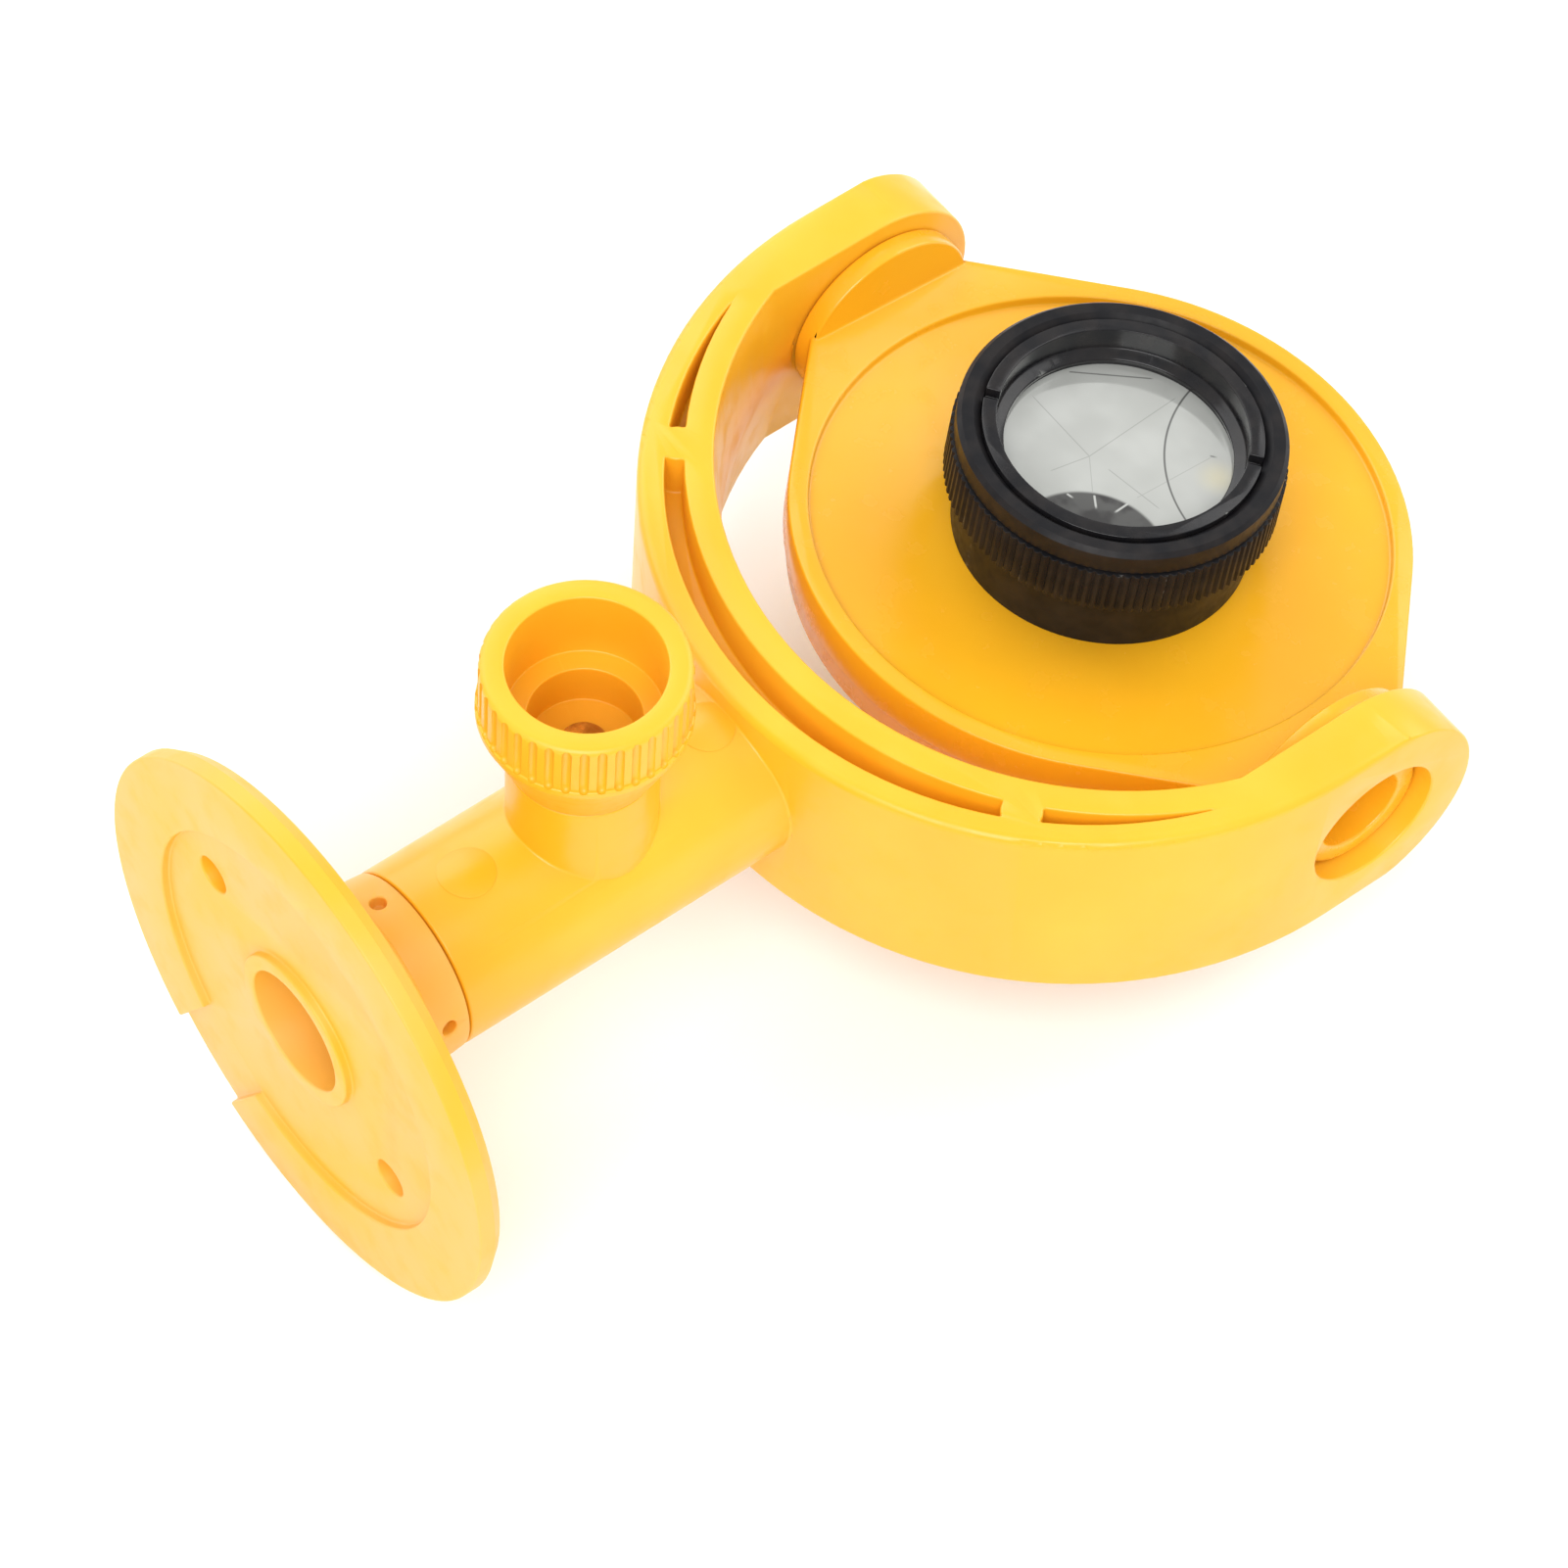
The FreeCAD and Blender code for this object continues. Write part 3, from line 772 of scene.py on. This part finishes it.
def rounded(corners: list[tuple[float, float, float]]) -> list[tuple[float, float]]:
    """An outline whose corners are rounded.

    Args:
        corners: (radius, height, rounding) for each corner, in metres.

    Returns:
        The outline's (radius, height) points.
    """
    outline: list[tuple[float, float]] = []
    following = corners[1:] + corners[:1]
    for index, (radius, height, rounding) in enumerate(corners):
        if rounding == 0:
            outline.append((radius, height))
            continue
        here = Vector((radius, height))
        before = (Vector(corners[index - 1][:2]) - here).normalized()
        after = (Vector(following[index][:2]) - here).normalized()
        half = before.angle(after) / 2
        reach = rounding / math.tan(half)
        middle = here + (before + after).normalized() * (rounding / math.sin(half))
        first = here + before * reach - middle
        last = here + after * reach - middle
        for step in range(CORNER_STEPS + 1):
            point = middle + first.slerp(last, step / CORNER_STEPS).normalized() * rounding
            outline.append((point.x, point.y))
    return outline


def dress(piece: Object, material: Material, slot: str, body: Body, *stands_for: str) -> None:
    """Gives a new piece its material and its body, and hides the CAD nodes that it stands for.

    Args:
        piece: the new piece.
        material: its finish.
        slot: the record's material slot; not used.
        body: the body that it rides on.
        stands_for: the CAD nodes that it replaces.
    """
    piece.data.materials.clear()
    piece.data.materials.append(material)
    if stands_for:
        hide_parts(*stands_for)
    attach(piece, body.value)
    log.info("%s rides on %s, %d faces", piece.name, body.value, len(piece.data.polygons))


def repaint(node: str, material: Material) -> None:
    """Gives a CAD node that stays in view its finish.

    Args:
        node: the CAD node's name.
        material: its finish.
    """
    shown = frame["nodes"][node]
    shown.data.materials.clear()
    shown.data.materials.append(material)
    log.info("%s keeps its CAD shape", node)


@dataclass
class WallFlange:
    """The screw-on flange with its collar."""

    edge: float = 0.25 * MM
    finish: MouldedPlastic = MouldedPlastic("flange_plastic", Colour.EGG_YELLOW, Colour.SAND_YELLOW,
                                            roughness=0.40)

    def build(self) -> None:
        """Builds and dresses the flange."""
        piece = Bench.from_node("wall_flange", "flange_shell", self.edge)
        dress(piece, self.finish.build(), "flange_plastic", Body.BASE, "wall_flange")


@dataclass
class Yoke:
    """The stem, boss and forked ring, with two round moulding marks along the stem's top."""

    edge: float = 0.28 * MM
    corner: float = 50.0
    stem_radius: float = 10.55 * MM
    stem_steps: int = 256
    mark_radius: float = 3.2 * MM
    mark_steps: int = 64
    mark_rise: float = 0.07 * MM
    mark_edge: float = 0.03 * MM
    mark_edge_steps: int = 2
    first_mark: float = 6.9 * MM
    second_mark: float = 38.6 * MM
    finish: MouldedPlastic = MouldedPlastic("yoke_plastic", Colour.SUN_YELLOW, Colour.EGG_YELLOW,
                                            roughness=0.30)

    def moulding_mark(self, number: int, along: float) -> Object:
        """A thin round patch that follows the stem's curve.

        Args:
            number: counts the marks, for the piece's name.
            along: the mark's place on Y, in metres.

        Returns:
            The patch.
        """
        Bench.clear()
        bpy.ops.mesh.primitive_cylinder_add(vertices=self.mark_steps, radius=self.mark_radius,
                                            depth=self.stem_radius,
                                            location=(0, along, self.stem_radius))
        patch = bpy.context.active_object
        patch.name = "moulding_mark_%d" % number
        Bench.settle(patch)
        bpy.ops.mesh.primitive_cylinder_add(vertices=self.stem_steps,
                                            radius=self.stem_radius + self.mark_rise,
                                            depth=3 * self.mark_radius, location=(0, along, 0),
                                            rotation=(FULL_TURN / 4, 0, 0))
        shell = Bench.settle(bpy.context.active_object)
        Bench.combine(patch, shell, "INTERSECT")
        Bench.apply(patch, "BEVEL", width=self.mark_edge, segments=self.mark_edge_steps,
                    limit_method="ANGLE", angle_limit=math.radians(self.corner))
        Bench.smooth(patch)
        return patch

    def build(self) -> None:
        """Builds and dresses the yoke and its marks."""
        material = self.finish.build()
        piece = Bench.from_node("yoke", "yoke_shell", self.edge, self.corner)
        dress(piece, material, "yoke_plastic", Body.FORK, "yoke")
        stem_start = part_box("yoke")[0].y
        for number, offset in enumerate((self.first_mark, self.second_mark), start=1):
            mark = self.moulding_mark(number, stem_start + offset)
            dress(mark, material, "yoke_plastic", Body.FORK)


@dataclass
class ClampKnob:
    """The hollow thumb knob, turned with soft corners and cut with round-ended flutes."""

    crest: float = 11.2 * MM
    lip: float = 11.5 * MM
    bore: float = 8.5 * MM
    inner_bore: float = 6.1 * MM
    boss: float = 8.2 * MM
    shank: float = 6.0 * MM
    pin_hole: float = 1.56 * MM
    shank_length: float = 9.0 * MM
    skirt_height: float = 8.0 * MM
    lip_height: float = 0.9 * MM
    bore_depth: float = 9.4 * MM
    floor_height: float = 0.9 * MM
    top_round: float = 0.8 * MM
    shank_round: float = 0.3 * MM
    rim_round: float = 0.25 * MM
    inner_round: float = 0.2 * MM
    boss_round: float = 0.12 * MM
    flutes: int = 38
    flute_radius: float = 0.55 * MM
    flute_depth: float = 0.45 * MM
    flute_margin: float = 0.2 * MM
    rod_segments: int = 14
    rod_rings: int = 9
    faces_per_flute: int = 4
    smooth_degrees: float = 40.0
    finish: MouldedPlastic = MouldedPlastic("knob_plastic", Colour.SUN_YELLOW, Colour.EGG_YELLOW,
                                            roughness=0.33)

    def rod(self, centre: Vector, bottom: float, top: float) -> Object:
        """A round-ended rod that cuts one flute: a ball with its upper half raised.

        Args:
            centre: the point on the knob's axis that heights are counted from.
            bottom: where the flute starts, in metres.
            top: where the flute ends, in metres.

        Returns:
            The rod.
        """
        Bench.clear()
        middle = bottom + self.flute_radius
        reach = self.crest + self.flute_radius - self.flute_depth
        bpy.ops.mesh.primitive_uv_sphere_add(segments=self.rod_segments, ring_count=self.rod_rings,
                                             radius=self.flute_radius,
                                             location=centre + Vector((reach, 0, middle)))
        rod = Bench.settle(bpy.context.active_object)
        bpy.ops.object.mode_set(mode="EDIT")
        bpy.ops.mesh.select_all(action="DESELECT")
        bpy.ops.object.mode_set(mode="OBJECT")
        for vertex in rod.data.vertices:
            vertex.select = vertex.co.z > centre.z + middle
        bpy.ops.object.mode_set(mode="EDIT")
        bpy.ops.transform.translate(value=(0, 0, top - self.flute_radius - middle))
        bpy.ops.object.mode_set(mode="OBJECT")
        return rod

    def flute_cutter(self, centre: Vector, bottom: float, top: float) -> Object:
        """A ring of round-ended rods that cuts every flute at once.

        Args:
            centre: the point on the knob's axis that heights are counted from.
            bottom: where the flutes start, in metres.
            top: where the flutes end, in metres.

        Returns:
            The cutter.
        """
        first = self.rod(centre, bottom, top)
        rods = [first]
        for index in range(1, self.flutes):
            turn = Matrix.Rotation(FULL_TURN * index / self.flutes, 4, "Z")
            copy = first.copy()
            copy.data = first.data.copy()
            copy.data.transform(Matrix.Translation(centre) @ turn @ Matrix.Translation(-centre))
            bpy.context.scene.collection.objects.link(copy)
            rods.append(copy)
        Bench.only(first)
        for rod in rods:
            rod.select_set(True)
        bpy.ops.object.join()
        return first

    def outline(self, bottom: float, top: float) -> list[tuple[float, float]]:
        """The knob's section, from the pin hole outwards and back.

        Args:
            bottom: the shank's lower end, in metres.
            top: the knob's upper end, in metres.

        Returns:
            The section's (radius, height) points.
        """
        base = bottom + self.shank_length
        lip = base + self.skirt_height
        grip = lip + self.lip_height
        step = top - self.bore_depth
        floor = base + self.floor_height
        return rounded([
            (self.pin_hole, bottom, 0),
            (self.shank, bottom, self.shank_round),
            (self.shank, base, 0),
            (self.boss, base, self.boss_round),
            (self.lip, lip, self.inner_round),
            (self.lip, grip, self.rim_round),
            (self.crest, grip, 0),
            (self.crest, top, self.top_round),
            (self.bore, top, self.rim_round),
            (self.bore, step, self.inner_round),
            (self.inner_bore, step, self.inner_round),
            (self.inner_bore, floor, self.inner_round),
            (self.pin_hole, floor, 0),
        ])

    def build(self) -> None:
        """Builds and dresses the knob."""
        low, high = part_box("clamp_knob")
        centre = Vector(((low.x + high.x) / 2, (low.y + high.y) / 2, 0.0))
        steps = self.flutes * self.faces_per_flute
        piece = Bench.turned("knob_shell", self.outline(low.z, high.z), centre, steps)
        grip = low.z + self.shank_length + self.skirt_height + self.lip_height
        cutter = self.flute_cutter(centre, grip - self.flute_radius / 2, high.z - self.flute_margin)
        Bench.combine(piece, cutter, "DIFFERENCE")
        Bench.smooth(piece, self.smooth_degrees)
        dress(piece, self.finish.build(), "knob_plastic", Body.KNOB, "clamp_knob")


@dataclass
class ClampShoe:
    """The brass shoe and pin under the knob's screw."""

    finish: TurnedBrass = TurnedBrass("shoe_brass")

    def build(self) -> None:
        """Dresses the shoe."""
        repaint("clamp_shoe", self.finish.build())


@dataclass
class TiltPlate:
    """The round plate with its lugs and hollow trunnions."""

    edge: float = 0.3 * MM
    finish: MouldedPlastic = MouldedPlastic("plate_plastic", Colour.EGG_YELLOW, Colour.AMBER,
                                            roughness=0.20)

    def build(self) -> None:
        """Builds and dresses the plate."""
        piece = Bench.from_node("tilt_plate", "plate_shell", self.edge)
        dress(piece, self.finish.build(), "plate_plastic", Body.TARGET, "tilt_plate")


@dataclass
class PrismUnit:
    """The housing with its glass, ring, gasket, nest and rear nut."""

    centre: Vector = field(default_factory=lambda: axis_point("plate_tilt"))
    facing: Vector = field(default_factory=lambda: mount_axis("prism_well"))
    housing_edge: float = 0.07 * MM
    housing_corner: float = 50.0
    ring_edge: float = 0.12 * MM
    ring_roughness: float = 0.13
    ring_shine: float = 0.22
    ring_coat: float = 0.22
    nut_roughness: float = 0.45

    def build(self) -> None:
        """Builds and dresses every piece of the unit."""
        tilt = math.atan2(self.facing.y, self.facing.z)
        black = AnodisedMetal("housing_black", self.centre, tilt)
        housing = Bench.from_node("prism_housing", "housing_shell", self.housing_edge,
                                  self.housing_corner)
        dress(housing, black.build(), "housing_black", Body.TARGET, "prism_housing")
        satin = AnodisedMetal("ring_black", self.centre, tilt, roughness=self.ring_roughness,
                              shine=self.ring_shine, coat=self.ring_coat)
        ring = Bench.from_node("retaining_ring", "front_ring", self.ring_edge)
        dress(ring, satin.build(), "ring_black", Body.TARGET, "retaining_ring")
        dull = AnodisedMetal("nut_black", self.centre, tilt, roughness=self.nut_roughness)
        nut = Bench.from_node("rear_nut", "back_nut", self.ring_edge)
        dress(nut, dull.build(), "nut_black", Body.TARGET, "rear_nut")
        repaint("corner_cube", SilveredGlass("prism_glass", self.centre, tilt).build())
        repaint("prism_nest", SoftRubber("nest_rubber").build())
        repaint("front_gasket", SoftRubber("gasket_rubber").build())


@dataclass(frozen=True)
class SoftBox:
    """A soft square light: its place and size in metres, and its power."""

    name: str
    place: tuple[float, float, float]
    size: float
    power: float

    def hang(self, aim: Vector) -> None:
        """Hangs the light.

        Args:
            aim: the point that it looks at, in metres.
        """
        light = bpy.data.lights.new(self.name, "AREA")
        light.size = self.size
        light.energy = self.power
        lamp = bpy.data.objects.new(self.name, light)
        lamp.location = self.place
        lamp.rotation_euler = (aim - Vector(self.place)).to_track_quat("-Z", "Y").to_euler()
        bpy.context.scene.collection.objects.link(lamp)


@dataclass
class Studio:
    """Plain pale floor, soft lights and the camera."""

    floor_size: float = 40.0
    floor_roughness: float = 0.9
    sky_strength: float = 0.7
    light_aim: tuple[float, float, float] = (0.0, 0.07, 0.0)
    key: SoftBox = SoftBox("key_light", (0.5, -0.5, 0.9), 0.8, 10.5)
    fill: SoftBox = SoftBox("fill_light", (-0.9, 0.1, 0.6), 1.0, 6.0)
    back: SoftBox = SoftBox("back_light", (0.1, 1.0, 0.7), 0.9, 5.5)
    lens: float = 163.4
    sensor: float = 36.0
    clip_start: float = 0.01
    camera_aim: tuple[float, float, float] = (5.52 * MM, 60.97 * MM, 0.0)
    camera_distance: float = 767.86 * MM
    camera_azimuth: float = -41.442
    camera_elevation: float = 55.581
    camera_roll: float = 4.379

    def build(self) -> None:
        """Sets the floor, the lights, the sky and the camera."""
        self.floor()
        for light in (self.key, self.fill, self.back):
            light.hang(Vector(self.light_aim))
        self.sky()
        self.camera()

    def floor(self) -> None:
        """Lays the floor at the object's lowest point."""
        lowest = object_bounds()[0].z
        Bench.clear()
        bpy.ops.mesh.primitive_plane_add(size=self.floor_size, location=(0, 0, lowest))
        floor = bpy.context.active_object
        floor.name = "studio_floor"
        graph = Graph("studio_paper")
        graph.constant(Base_Color=Colour.PAPER.value, Roughness=self.floor_roughness)
        floor.data.materials.append(graph.material)
        floor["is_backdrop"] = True

    def sky(self) -> None:
        """Lights everything evenly from a white surround."""
        world = bpy.data.worlds.new("studio_sky")
        world.use_nodes = True
        background = world.node_tree.nodes["Background"]
        background.inputs["Color"].default_value = Colour.WHITE.value
        background.inputs["Strength"].default_value = self.sky_strength
        bpy.context.scene.world = world
        bpy.context.scene.view_settings.view_transform = "Standard"

    def camera(self) -> None:
        """Places the camera by its aim, its distance and its three angles."""
        data = bpy.data.cameras.new("studio_camera")
        data.lens = self.lens
        data.sensor_width = self.sensor
        data.clip_start = self.clip_start
        camera = bpy.data.objects.new("studio_camera", data)
        turn = (Matrix.Rotation(math.radians(90 + self.camera_azimuth), 3, "Z")
                @ Matrix.Rotation(math.radians(90 - self.camera_elevation), 3, "X")
                @ Matrix.Rotation(math.radians(self.camera_roll), 3, "Z"))
        place = Vector(self.camera_aim) + turn.col[2] * self.camera_distance
        camera.matrix_world = Matrix.Translation(place) @ turn.to_4x4()
        bpy.context.scene.collection.objects.link(camera)
        bpy.context.scene.camera = camera


def main() -> None:
    """Builds every sub-assembly in order, then the studio round them."""
    logging.basicConfig(level=logging.INFO, format="%(name)s: %(message)s")
    for assembly in (WallFlange(), Yoke(), ClampKnob(), TiltPlate(), PrismUnit(), ClampShoe()):
        log.info("building %s", type(assembly).__name__)
        assembly.build()
    Studio().build()


if __name__ == "__main__":
    main()
